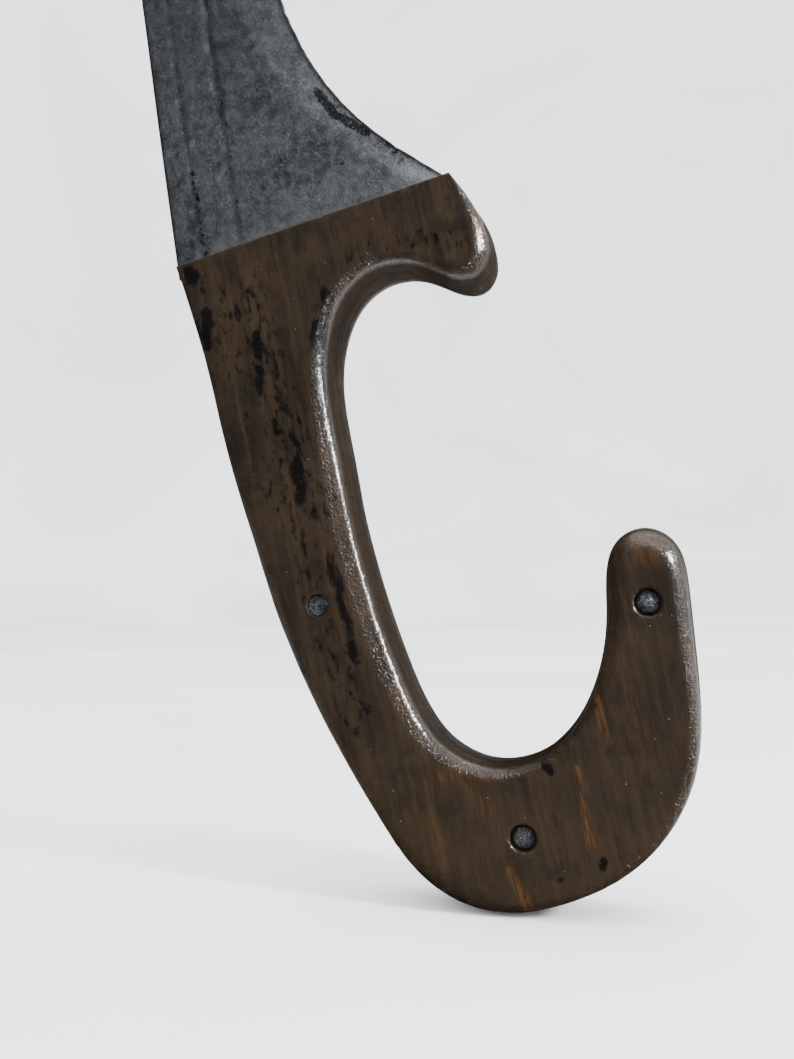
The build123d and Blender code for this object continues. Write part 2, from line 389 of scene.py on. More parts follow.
def make_solid(*details):
    """A closed mesh object, from make_object's arguments, with every face turned outwards."""
    obj = make_object(*details)
    bm = bmesh.new()
    bm.from_mesh(obj.data)
    bmesh.ops.recalc_face_normals(bm, faces=bm.faces)
    bm.to_mesh(obj.data)
    bm.free()
    return obj


def set_attribute(obj, name, values):
    """Stores one number per vertex, for the materials to read."""
    stored = obj.data.attributes.new(name, "FLOAT", "POINT")
    stored.data.foreach_set("value", np.asarray(values, np.float32))


def vertex_array(obj, kind="co"):
    """The object's vertices, in millimetres, or with "normal" their normals."""
    values = np.zeros(len(obj.data.vertices) * 3)
    obj.data.vertices.foreach_get(kind, values)
    return values.reshape(-1, 3) / (MM if kind == "co" else 1.0)


def combine(obj, other, operation):
    """Applies a boolean with another solid to obj, then removes the other one."""
    modifier = obj.modifiers.new("solid", "BOOLEAN")
    modifier.operation = operation
    modifier.solver = "MANIFOLD"
    modifier.object = other
    bpy.context.view_layer.update()
    graph = bpy.context.evaluated_depsgraph_get()
    mesh = bpy.data.meshes.new_from_object(obj.evaluated_get(graph), depsgraph=graph)
    obj.modifiers.clear()
    old = obj.data
    obj.data = mesh
    mesh.name = obj.name
    bpy.data.meshes.remove(old)
    bpy.data.objects.remove(other)


# ---- wooden scales ----
def rim_profile(width, drop, low_round, high_round, bulge):
    """The (inset, height) line from the mid-plane up the wall and over the worn edge."""
    ridge = np.array([bulge, HALF - drop])
    shelf = np.array([bulge + width, HALF])
    slope = (shelf - ridge) / np.linalg.norm(shelf - ridge)
    low_round = min(low_round, 0.45 * np.linalg.norm(shelf - ridge))
    high_round = min(high_round, 0.5 * np.linalg.norm(shelf - ridge))
    wall_top = HALF - drop - low_round
    heights = np.linspace(0, wall_top, 8)
    wall = np.stack([bulge * (heights / (HALF - drop)) ** 2, heights], axis=1)
    t = np.linspace(0, 1, 9)[1:, None]
    lower = (1 - t) ** 2 * wall[-1] + 2 * t * (1 - t) * ridge + t**2 * (ridge + slope * low_round)
    start = shelf - slope * high_round
    end = shelf + np.array([high_round, 0])
    upper = (1 - t) ** 2 * start + 2 * t * (1 - t) * shelf + t**2 * end
    line = np.concatenate([wall, lower, upper])
    lengths = np.concatenate([[0], np.cumsum(np.linalg.norm(np.diff(line, axis=0), axis=1))])
    share = np.linspace(0, 1, PROFILE_POINTS) ** 0.85
    return np.stack([np.interp(share * lengths[-1], lengths, line[:, i]) for i in range(2)], axis=1)


def hilt_loop():
    """The hilt's outline as an even closed loop, anticlockwise, and each point's inward normal."""
    raw = section_loop("grip_scale_front", -WALL_SECTION)
    raw = np.roll(raw, -int(np.argmin(raw[:, 0])), 0)
    edge_corner = int(np.argmax(raw[:, 1]))
    rim = smoothed(resampled(raw[: edge_corner + 1], RIM_STEP), 6)
    top = resampled(np.array([raw[edge_corner], raw[0]]), RIM_STEP)
    loop = np.concatenate([rim, top[1:-1]])
    before, after = np.roll(loop, 1, 0), np.roll(loop, -1, 0)
    edge_in = (loop - before) / np.linalg.norm(loop - before, axis=1)[:, None]
    edge_out = (after - loop) / np.linalg.norm(after - loop, axis=1)[:, None]
    normal_in = np.stack([-edge_in[:, 1], edge_in[:, 0]], axis=1)
    normal_out = np.stack([-edge_out[:, 1], edge_out[:, 0]], axis=1)
    mitre = 1 + (normal_in * normal_out).sum(1)
    return loop, (normal_in + normal_out) / mitre[:, None]


def wear_along(loop):
    """The rim profile's five numbers at each point of the loop."""
    count = len(loop)
    marks = []
    for place, numbers in RIM_WEAR:
        nearest = int(np.argmin(np.linalg.norm(loop - np.array(place), axis=1)))
        marks.append((nearest, numbers))
    marks.sort()
    places = [m[0] for m in marks]
    places = [places[-1] - count] + places + [places[0] + count]
    numbers = [marks[-1][1]] + [m[1] for m in marks] + [marks[0][1]]
    index = np.arange(count)
    table = np.array(numbers)
    return np.stack([np.interp(index, places, table[:, k]) for k in range(5)], axis=1)


def hole_radius(name, side):
    """The counterbore's radius on that side."""
    return HOLE_RADIUS[name] if side < 0 else BACK_HOLE_RADIUS


def hole_rings(name, side):
    """Rings of (radius, height) from the worn face round a rivet down into its counterbore."""
    radius = hole_radius(name, side)
    seat = HALF - HEAD_SEAT if side < 0 else mm_box(f"rivet_burr_{name}")[0][1]
    lip = HOLE_LIP[name]
    worn = [(1.0, 0.0), (0.65, 0.05), (0.28, 0.15), (0.06, 0.32), (0.0, 0.6)]
    rings = [(radius + share * lip, HALF - drop) for share, drop in worn]
    rings += [(radius - 0.02, (HALF + seat) / 2), (radius - 0.04, seat + 0.2)]
    return rings + [(radius - 0.2, seat), (radius - 0.6, seat)]


def build_scale(side, material):
    """One wooden scale: side is -1 for the front and 1 for the back."""
    loop, inward = hilt_loop()
    wear = wear_along(loop)
    if side > 0:
        wear[:, [0, 3]] *= BACK_WEAR
    count = len(loop)
    profiles = np.array([rim_profile(*numbers) for numbers in wear])
    vertices, faces = [], []
    for k in range(PROFILE_POINTS):
        flat = loop + inward * profiles[:, k, :1]
        vertices.append(np.stack([flat[:, 0], profiles[:, k, 1], flat[:, 1]], axis=1))
    for k in range(PROFILE_POINTS - 1):
        faces += band(k * count, (k + 1) * count, count)
    vertices = np.concatenate(vertices)
    shelf = vertices[-count:][:, [0, 2]]

    lips, holes = [], []
    for name in HOLE_RADIUS:
        centre = rivet_centre(name)
        holes.append((centre, hole_radius(name, side) + HOLE_LIP[name]))
        lips.append(len(vertices))
        bore_vertices, bore_faces = bore(centre, hole_rings(name, side))
        faces += [tuple(len(vertices) + i for i in face) for face in bore_faces]
        vertices = np.concatenate([vertices, bore_vertices])

    grid = face_grid(shelf, holes)
    first = len(vertices)
    rows = np.stack([grid[:, 0], np.full(len(grid), HALF), grid[:, 1]], axis=1)
    vertices = np.concatenate([vertices, rows])
    closed = [(i, (i + 1) % count) for i in range(count)]
    used = list(range((PROFILE_POINTS - 1) * count, PROFILE_POINTS * count))
    for lip in lips:
        used += list(range(lip, lip + BORE_POINTS))
    used += list(range(first, len(vertices)))
    faces += fill_flat(vertices, used, closed, shelf, holes)
    faces += fill_flat(vertices, list(range(count)), closed, loop, [])

    vertices[:, 1] *= side
    name = "grip_scale_front_worn" if side < 0 else "grip_scale_back_worn"
    scale = make_solid(name, vertices, faces, material)
    wear_surface(scale, side)
    combine(scale, tang_cutter(), "DIFFERENCE")
    combine(scale, shank_cutter(), "DIFFERENCE")
    return scale


def bore(centre, rings):
    """A counterbore's vertices and faces, from its lip down to a closed floor."""
    vertices, faces = [], []
    for order, (radius, height) in enumerate(rings):
        vertices += ring(centre, radius, height, BORE_POINTS)
        if order:
            faces += band((order - 1) * BORE_POINTS, order * BORE_POINTS, BORE_POINTS)
    hub = len(vertices)
    vertices.append((centre[0], rings[-1][1], centre[1]))
    faces += fan(hub - BORE_POINTS, BORE_POINTS, hub)
    return np.array(vertices), faces


def face_grid(shelf, holes):
    """Staggered points over the flat of a scale, clear of the shelf's border and of the holes."""
    low, high = shelf.min(0), shelf.max(0)
    points = []
    for order, z in enumerate(np.arange(low[1], high[1], FACE_STEP * 0.866)):
        xs = np.arange(low[0] + (order % 2) * FACE_STEP / 2, high[0], FACE_STEP)
        points.append(np.stack([xs, np.full(len(xs), z)], axis=1))
    points = np.concatenate(points)
    points = points[inside(points, shelf)]
    nearest = np.full(len(points), 1e9)
    for start in range(0, len(shelf), 64):
        block = shelf[start : start + 64]
        gap = np.linalg.norm(points[:, None] - block[None], axis=2).min(1)
        nearest = np.minimum(nearest, gap)
    for centre, radius in holes:
        nearest = np.minimum(nearest, np.linalg.norm(points - centre, axis=1) - radius)
    return points[nearest > FACE_MARGIN]


def fill_flat(vertices, used, edges, loop, holes):
    """Triangles over the used vertices, inside the loop and outside the holes."""
    flat = [Vector((vertices[i][0], vertices[i][2])) for i in used]
    coords, _, triangles, originals, _, _ = geometry.delaunay_2d_cdt(flat, edges, [], 1, 1e-6)
    points, triangles = np.array([tuple(c) for c in coords]), np.array(triangles)
    middles = points[triangles].mean(1)
    keep = inside(middles, loop)
    for centre, radius in holes:
        keep &= np.linalg.norm(middles - centre, axis=1) > radius * math.cos(math.pi / BORE_POINTS)
    return [tuple(used[originals[v][0]] for v in t) for t in triangles[keep]]


def wear_surface(scale, side):
    """Moves the outer surface in along its normals: hand-shaped waves, fine grain and dents."""
    co = vertex_array(scale)
    normals = vertex_array(scale, "normal")
    depth = np.abs(co[:, 1])
    free = smoothstep(depth, 0.05, 1.6)
    waves = noise_at(co, 21.0, 3 + side) * 0.16 + noise_at(co, 7.0, 11 + side) * 0.05
    grain_points = co * np.array([1 / 1.1, 1 / 1.1, 1 / 16.0])
    grain = noise_at(grain_points, 1.0, 5 + side) * 0.022
    pits = noise_at(co, 2.2, 17 + side)
    dents = -0.22 * smoothstep(pits, 0.52, 0.8)
    move = waves + grain + dents - WEAR_DEPTH
    for name in HOLE_RADIUS:
        apart = np.linalg.norm(co[:, [0, 2]] - rivet_centre(name), axis=1)
        move *= smoothstep(apart, 3.0, 5.2)
    co += normals * (np.minimum(move, 0.0) * free)[:, None]
    scale.data.vertices.foreach_set("co", (co * MM).ravel())
    scale.data.update()


def tang_cutter():
    """The CAD blade, a hair larger all round."""
    bm = welded("blade")
    bm.normal_update()
    for vertex in bm.verts:
        vertex.co += vertex.normal * TANG_CLEARANCE
    return object_of(bm, "tang_cutter")


def shank_cutter():
    """Three rods through both scales, where the rivets pass."""
    vertices, faces = [], []
    for name in HOLE_RADIUS:
        front = len(vertices)
        back = front + SHANK_POINTS
        for depth in (-HALF - 1, HALF + 1):
            vertices += ring(rivet_centre(name), SHANK_HOLE, depth, SHANK_POINTS)
        faces += band(front, back, SHANK_POINTS)
        faces.append(tuple(reversed(range(front, back))))
        faces.append(tuple(range(back, back + SHANK_POINTS)))
    return make_solid("shank_cutter", vertices, faces, None)


# ---- rivets and burrs ----
def lathe(centre, profile):
    """Vertices and faces of a closed body turned about an axis along Y.

    The profile is a line of (radius, depth) points that starts and ends on the axis.
    """
    vertices = [(centre[0], profile[0][1], centre[1])]
    for radius, depth in profile[1:-1]:
        vertices += ring(centre, radius, depth, LATHE_POINTS)
    last = len(vertices)
    vertices.append((centre[0], profile[-1][1], centre[1]))
    faces = [triangle[::-1] for triangle in fan(1, LATHE_POINTS, 0)]  # wound as the bands are
    for start in range(1, last - LATHE_POINTS, LATHE_POINTS):
        faces += band(start, start + LATHE_POINTS, LATHE_POINTS)
    faces += fan(last - LATHE_POINTS, LATHE_POINTS, last)
    return np.array(vertices), faces


def dome(radius, rim, top, steps=12):
    """A (radius, depth) line over a rounded head, from its axis out to its rim."""
    turns = [k / steps * math.pi / 2 for k in range(steps + 1)]
    return [(radius * math.sin(t), rim + (top - rim) * math.cos(t)) for t in turns]


def hammer(points, seed, depth, size):
    """Flats and small marks left by a hammer, as a distance to move each point along Y."""
    dents = noise_at(points, size, seed) * depth
    marks = noise_at(points, size * 0.3, seed + 1) * depth * 0.35
    return np.minimum(dents + marks - depth * 0.5, 0.0)


def build_rivet(name, order, material):
    """One rivet: a domed set head, its shank, and the closed head over the burr."""
    low, high = mm_box(f"rivet_{name}")
    radius = (high[0] - low[0]) / 2
    shank = SHANK_HOLE - 0.05
    set_seat = HEAD_SEAT - HALF
    closed_seat = mm_box(f"rivet_burr_{name}")[1][1]
    profile = dome(radius, low[1] + HEAD_CROWN[name], low[1])
    profile += [(radius, set_seat - 0.2), (radius - 0.05, set_seat), (shank, set_seat), (shank, 0.0)]
    profile += [(shank, closed_seat), (radius - 0.05, closed_seat), (radius, closed_seat + 0.2)]
    profile += dome(radius, closed_seat + 0.45, high[1])[::-1]
    vertices, faces = lathe(rivet_centre(name), profile)
    spread = hammer(vertices, 31 + order, 0.16, 1.3)
    head = smoothstep(np.abs(vertices[:, 1]), HALF - 1.4, HALF - 0.9)
    vertices[:, 1] += np.sign(vertices[:, 1]) * spread * head
    return make_solid(f"rivet_{name}_forged", vertices, faces, material, SHARP_ANGLE)


def build_burr(name, order, material):
    """One burr: a punched washer, a little dished, with turned-over edges."""
    low, high = mm_box(f"rivet_burr_{name}")
    outer = (high[0] - low[0]) / 2
    inner = SHANK_HOLE
    under, over = low[1], high[1]
    section = [(inner, under + 0.08), (inner + 0.08, under), (outer - 0.12, under)]
    section += [(outer, under + 0.12), (outer, over - 0.22), (outer - 0.08, over - 0.1)]
    section += [(outer - 0.22, over - 0.05), (outer - 0.6, over), (inner + 0.1, over)]
    section += [(inner, over - 0.08)]
    vertices, faces = [], []
    for k, (radius, depth) in enumerate(section):
        vertices += ring(rivet_centre(name), radius, depth, LATHE_POINTS)
        following = (k + 1) % len(section)
        faces += band(k * LATHE_POINTS, following * LATHE_POINTS, LATHE_POINTS)
    vertices = np.array(vertices)
    upper = smoothstep(vertices[:, 1], over - 0.3, over - 0.05)
    vertices[:, 1] += hammer(vertices, 41 + order, 0.05, 1.1) * upper
    return make_solid(f"burr_{name}_punched", vertices, faces, material, SHARP_ANGLE)


# ---- blade ----
def blade_edges():
    """The spine and the edge as (x, z) lines that rise from the hilt to the point."""
    loop = section_loop("blade", 0.0)
    hilt = section_loop("grip_scale_front", -WALL_SECTION)
    spine_end, edge_end = hilt[np.argmin(hilt[:, 0])], hilt[np.argmax(hilt[:, 1])]
    slope = (edge_end[1] - spine_end[1]) / (edge_end[0] - spine_end[0])
    height = loop[:, 1] - spine_end[1] - slope * (loop[:, 0] - spine_end[0])
    shoulders = loop[np.abs(height) < 0.1]
    corners = shoulders[np.argmin(shoulders[:, 0])], shoulders[np.argmax(shoulders[:, 0])]
    tip = int(np.argmax(loop[:, 1]))
    ordered, kept = np.roll(loop, -tip, 0), np.roll(height > 0.3, -tip)
    spine = ordered[: int(np.argmin(kept))][::-1]
    edge = np.concatenate([ordered[len(kept) - int(np.argmin(kept[::-1])) :], ordered[:1]])
    return np.concatenate([[corners[0]], spine]), np.concatenate([[corners[1]], edge])


def blade_offsets(width):
    """Distances from the spine for a row of points: close together where the face turns or dips."""
    spine = [0.0, 0.05, 0.17, 0.36, 0.62, 0.9, 1.5, 2.4, 3.4]
    first = np.arange(4.3, 8.6, 0.32)
    second = np.arange(13.6, 17.8, 0.32)
    near = np.concatenate([spine, first, np.arange(9.4, 13.4, 0.85), second])
    near *= min(1.0, width / FULL_WIDTH)
    onward = near[-1] + 0.8 * (width - near[-1]) / BROAD_POINTS
    edge = width - np.array([1.5, 1.0, 0.65, 0.36, 0.2, 0.08, 0.02, 0.0]) * min(1.0, width / 20)
    return np.concatenate([near, np.linspace(onward, edge[0], BROAD_POINTS)[:-1], edge])


def cad_half_thickness(rows):
    """Half of the CAD blade's thickness at each row's points, passing over the grooves."""
    bm = welded("blade")
    tree = BVHTree.FromBMesh(bm)
    bm.free()
    out = []
    for spine, edge in rows:
        width = np.linalg.norm(edge - spine)
        offsets = blade_offsets(width)
        scale = min(1.0, width / FULL_WIDTH)
        between = np.array(CLEAR_OF_GROOVES) * scale
        asked = np.concatenate([between, np.linspace(*CLEAR_SHARES, 18) * width])
        asked = np.sort(asked[asked < 0.99 * width])
        found = []
        for offset in asked:
            place = spine + (edge - spine) * offset / width
            hit = tree.ray_cast(Vector((place[0], -30.0, place[1])), Vector((0, 1, 0)))[0]
            found.append(np.nan if hit is None else -hit.y)
        found = np.array(found)
        good = ~np.isnan(found)
        if good.any():
            out.append(np.interp(offsets, asked[good], found[good]))
        else:  # the ray misses where the point is thinnest
            out.append(np.full(len(offsets), 0.3))
    return np.array(out)


def blade_rows():
    """The (spine, edge) end points of the mesh's rows, from the hilt's top line to the point."""
    spine, edge = blade_edges()
    low, high = spine[0][1], spine[-1][1]
    heights = np.concatenate([np.arange(low, low + 115, 0.8), np.arange(low + 115, high - 0.6, 1.5)])
    rows = []
    for z in heights:
        across = z + HILT_RISE * math.exp(-(z - low) / HILT_RISE_FADE)
        across = min(across, high - 0.05)
        a = np.array([np.interp(z, spine[:, 1], spine[:, 0]), z])
        b = np.array([np.interp(across, edge[:, 1], edge[:, 0]), across])
        rows.append((a, b))
    return rows, spine[-1]


def blade_relief(points, offsets, widths):
    """How far grooves, hammer marks, scale and rust take each point of a face inwards."""
    fade = 1 - smoothstep(points[:, 2], GROOVE_END - GROOVE_FADE, GROOVE_END)
    scale = np.minimum(1.0, widths / FULL_WIDTH)
    relief = np.zeros(len(points))
    for offset, depth in GROOVES:
        apart = (offsets - offset * scale) / (GROOVE_SPREAD * scale)
        relief += depth * np.exp(-(apart**2)) * fade
    waves = noise_at(points, 17.0, 51) * 0.09 + noise_at(points, 5.5, 52) * 0.045
    scars = smoothstep(noise_at(points, 2.6, 53), 0.35, 0.7) * 0.1
    pits = smoothstep(noise_at(points, 1.7, 54), 0.5, 0.75) * 0.09
    return relief + np.maximum(0.0, 0.07 + waves) + scars + pits


def build_blade(material):
    """The blade with its tang: forged faces, two grooves, rounded back and nicked edge."""
    rows, tip = blade_rows()
    halves = smoothed(cad_half_thickness(rows), 6)
    points, depth, offsets, widths = [], [], [], []
    for (a, b), half in zip(rows, halves):
        width = np.linalg.norm(b - a)
        across = blade_offsets(width)
        flat = a + (b - a) * (across / width)[:, None]
        spine_round = min(SPINE_ROUND, width / 4, half[8] * 0.8)
        edge_round = min(EDGE_ROUND, width / 6, half[-1] * 0.8)
        s = np.clip(1 - across / spine_round, 0, 1)
        e = np.clip(1 - (width - across) / edge_round, 0, 1)
        rounded = half - spine_round * (1 - np.sqrt(1 - s**2)) - edge_round * (1 - np.sqrt(1 - e**2))
        points.append(flat)
        depth.append(np.maximum(rounded, 0.08))
        offsets.append(across)
        widths.append(np.full(len(across), width))
    flat, depth = np.concatenate(points), np.concatenate(depth)
    offsets, widths = np.concatenate(offsets), np.concatenate(widths)
    across = len(points[0])

    free = smoothstep(np.minimum(offsets, widths - offsets), 0.0, 1.2)
    faces_of = []
    for side in (-1, 1):
        place = np.stack([flat[:, 0], side * depth, flat[:, 1]], axis=1)
        sunk = blade_relief(place, offsets, widths) * (0.35 + 0.65 * free)
        place[:, 1] -= side * np.minimum(sunk, depth * 0.5)
        faces_of.append(place)
    front, back = (place.reshape(len(rows), across, 3) for place in faces_of)
    rings = np.concatenate([front, back[:, ::-1]], axis=1)
    nicks = noise_at(rings[:, across - 1], 2.1, 61)
    bite = 0.3 * smoothstep(nicks, 0.3, 0.75) + 0.1 * smoothstep(nicks, -0.2, 0.3)
    near_edge = 1 - smoothstep((widths - offsets).reshape(len(rows), across), 0.0, 1.6)
    near_edge = np.concatenate([near_edge, near_edge[:, ::-1]], axis=1)
    rings[:, :, 0] -= bite[:, None] * near_edge
    around = rings.shape[1]

    faces = []
    for r in range(len(rows) - 1):
        faces += band(r * around, (r + 1) * around, around)
    vertices = np.concatenate([rings.reshape(-1, 3), [(tip[0], 0.0, tip[1] - 0.15)]])
    faces += fan((len(rows) - 1) * around, around, len(vertices) - 1)
    faces += [(i, i + 1, around - 2 - i, around - 1 - i) for i in range(across - 1)]
    blade = make_solid("blade_forged", vertices, faces, material)
    join_tang(blade, rows[0])
    return blade


def join_tang(blade, first_row):
    """Adds the tang, from the CAD blade's part below the hilt's top line."""
    spine, edge = first_row
    along = edge - spine
    upwards = Vector((-along[1], 0, along[0])).normalized()
    start = Vector((spine[0], 0, spine[1])) + upwards * 0.05
    bm = welded("blade")
    rim = cut_edges(bm, start, upwards, keep_outer=False)
    bmesh.ops.contextual_create(bm, geom=rim)
    bmesh.ops.recalc_face_normals(bm, faces=bm.faces)
    combine(blade, object_of(bm, "tang"), "UNION")


# ---- marks ----
def paint(obj, name, marks, depth=0.0):
    """Stores how strongly the listed marks touch each vertex, on both faces down to that depth."""
    co = vertex_array(obj)
    flat = co[:, [0, 2]]
    values = np.zeros(len(flat))
    for start, end, radius, strength in marks:
        start, end = np.array(start), np.array(end)
        along = end - start
        share = np.clip((flat - start) @ along / (along @ along), 0, 1)
        apart = np.linalg.norm(flat - start - share[:, None] * along, axis=1)
        values = np.maximum(values, strength * (1 - smoothstep(apart, 0.1 * radius, 1.5 * radius)))
    set_attribute(obj, name, values * smoothstep(np.abs(co[:, 1]), depth - 1.5, depth))


def paint_rim(scale):
    """Stores where a scale's side wall is, and where its worn rim is."""
    depth = np.abs(vertex_array(scale)[:, 1])
    flatness = np.abs(vertex_array(scale, "normal")[:, 1])
    set_attribute(scale, "wall", 1 - smoothstep(depth, 4.5, 8.0))
    rim = smoothstep(depth, 5.5, 7.5) * (1 - smoothstep(flatness, 0.9, 0.995))
    set_attribute(scale, "rim", rim)


def paint_blade_lines(blade):
    """Stores how near each vertex is to a groove, and to the blade's spine or edge."""
    spine, edge = blade_edges()
    co = vertex_array(blade)
    gaps = []
    for line in (resampled(spine, 0.5), resampled(edge, 0.5)):
        tree = KDTree(len(line))
        for i, (x, z) in enumerate(line):
            tree.insert((x, 0, z), i)
        tree.balance()
        gaps.append(np.array([tree.find((x, 0, z))[2] for x, _, z in co]))
    from_spine, from_edge = gaps
    groove = np.zeros(len(co))
    for offset, _ in GROOVES:
        groove = np.maximum(groove, np.exp(-((from_spine - offset) ** 2)))
    fade = 1 - smoothstep(co[:, 2], GROOVE_END - GROOVE_FADE, GROOVE_END)
    set_attribute(blade, "groove", groove * fade)
    set_attribute(blade, "border", 1 - smoothstep(np.minimum(from_spine, from_edge), 0.3, 1.5))


# ---- materials ----
def connect(tree, socket, value):
    """Gives an input a value, or links another node's output to it."""
    if isinstance(value, bpy.types.NodeSocket):
        tree.links.new(value, socket)
    else:
        socket.default_value = value


def wire(tree, node, **inputs):
    """Connects a node's inputs by name, with _ for a space."""
    for name, value in inputs.items():
        connect(tree, node.inputs[name.replace("_", " ")], value)


def put(tree, kind, settings=None, **inputs):
    """Adds a node with those properties and inputs."""
    node = tree.nodes.new(kind)
    for name, value in (settings or {}).items():
        setattr(node, name, value)
    wire(tree, node, **inputs)
    return node


def coordinates(tree, tilt=0.0, stretch=(1.0, 1.0, 1.0)):
    """Millimetres along the part's axes, turned about Y and then squeezed."""
    place = put(tree, "ShaderNodeTexCoord").outputs["Object"]
    turn = (0.0, math.radians(tilt), 0.0)
    turned = put(tree, "ShaderNodeMapping", Vector=place, Rotation=turn, Scale=(1 / MM,) * 3)
    return put(tree, "ShaderNodeMapping", Vector=turned.outputs[0], Scale=stretch).outputs[0]


def cloud(tree, vector, size, detail=3.0, rough=0.55, bend=0.0):
    """Noise with features about size long."""
    shape = {"Scale": 1 / size, "Detail": detail, "Roughness": rough, "Distortion": bend}
    return put(tree, "ShaderNodeTexNoise", Vector=vector, **shape).outputs[0]


def spots(tree, vector, size):
    """The distance to scattered points about size apart, as a share of size."""
    node = put(tree, "ShaderNodeTexVoronoi", Vector=vector, Scale=1 / size, Randomness=1.0)
    return node.outputs["Distance"]


def step(tree, value, low, high, start=0.0, end=1.0):
    """Value from low to high, eased into start to end."""
    node = put(tree, "ShaderNodeMapRange", {"interpolation_type": "SMOOTHSTEP"}, Value=value)
    wire(tree, node, From_Min=low, From_Max=high, To_Min=start, To_Max=end)
    return node.outputs[0]


def maths(tree, operation, a, b):
    """One operation on two values or sockets."""
    node = put(tree, "ShaderNodeMath", {"operation": operation})
    for socket, value in zip(node.inputs, (a, b)):
        connect(tree, socket, value)
    return node.outputs[0]


def times(tree, a, b):
    """The product of two values or sockets."""
    return maths(tree, "MULTIPLY", a, b)


def layer(tree, under, over, mask, strength=1.0):
    """A colour over another colour or socket where the mask is 1, as strongly as stated."""
    if strength != 1.0:
        mask = times(tree, mask, strength)
    if not isinstance(under, bpy.types.NodeSocket):
        under = (*under, 1.0)
    node = put(tree, "ShaderNodeMix", {"data_type": "RGBA"})
    for index, value in ((0, mask), (6, under), (7, (*over, 1.0))):
        connect(tree, node.inputs[index], value)
    return node.outputs[2]


def patches(tree, vector, size, detail, rough, low, high):
    """0 to 1 where noise rises from low to high."""
    return step(tree, cloud(tree, vector, size, detail, rough), low, high)


def attribute(tree, name):
    """What a set_attribute of that name stored."""
    return put(tree, "ShaderNodeAttribute", {"attribute_name": name}).outputs["Fac"]


def ragged(tree, mask, vector, size):
    """A painted mask broken up by noise: whole where it is 1, and in scraps where it is weaker."""
    scraps = times(tree, cloud(tree, vector, size, 6.0, 0.72), 1.6)
    total = maths(tree, "ADD", times(tree, mask, 0.8), scraps)
    return step(tree, total, 1.17, 1.36)


def bump(tree, height, distance, strength, under=None):
    """A bump of that many millimetres, on top of the one under it if there is one."""
    node = put(tree, "ShaderNodeBump", Height=height, Distance=distance * MM, Strength=strength)
    if under is not None:
        wire(tree, node, Normal=under)
    return node.outputs[0]


def new_material(name):
    """A material, its node tree and its shader."""
    material = bpy.data.materials.new(name)
    material.use_nodes = True
    return material, material.node_tree, material.node_tree.nodes["Principled BSDF"]


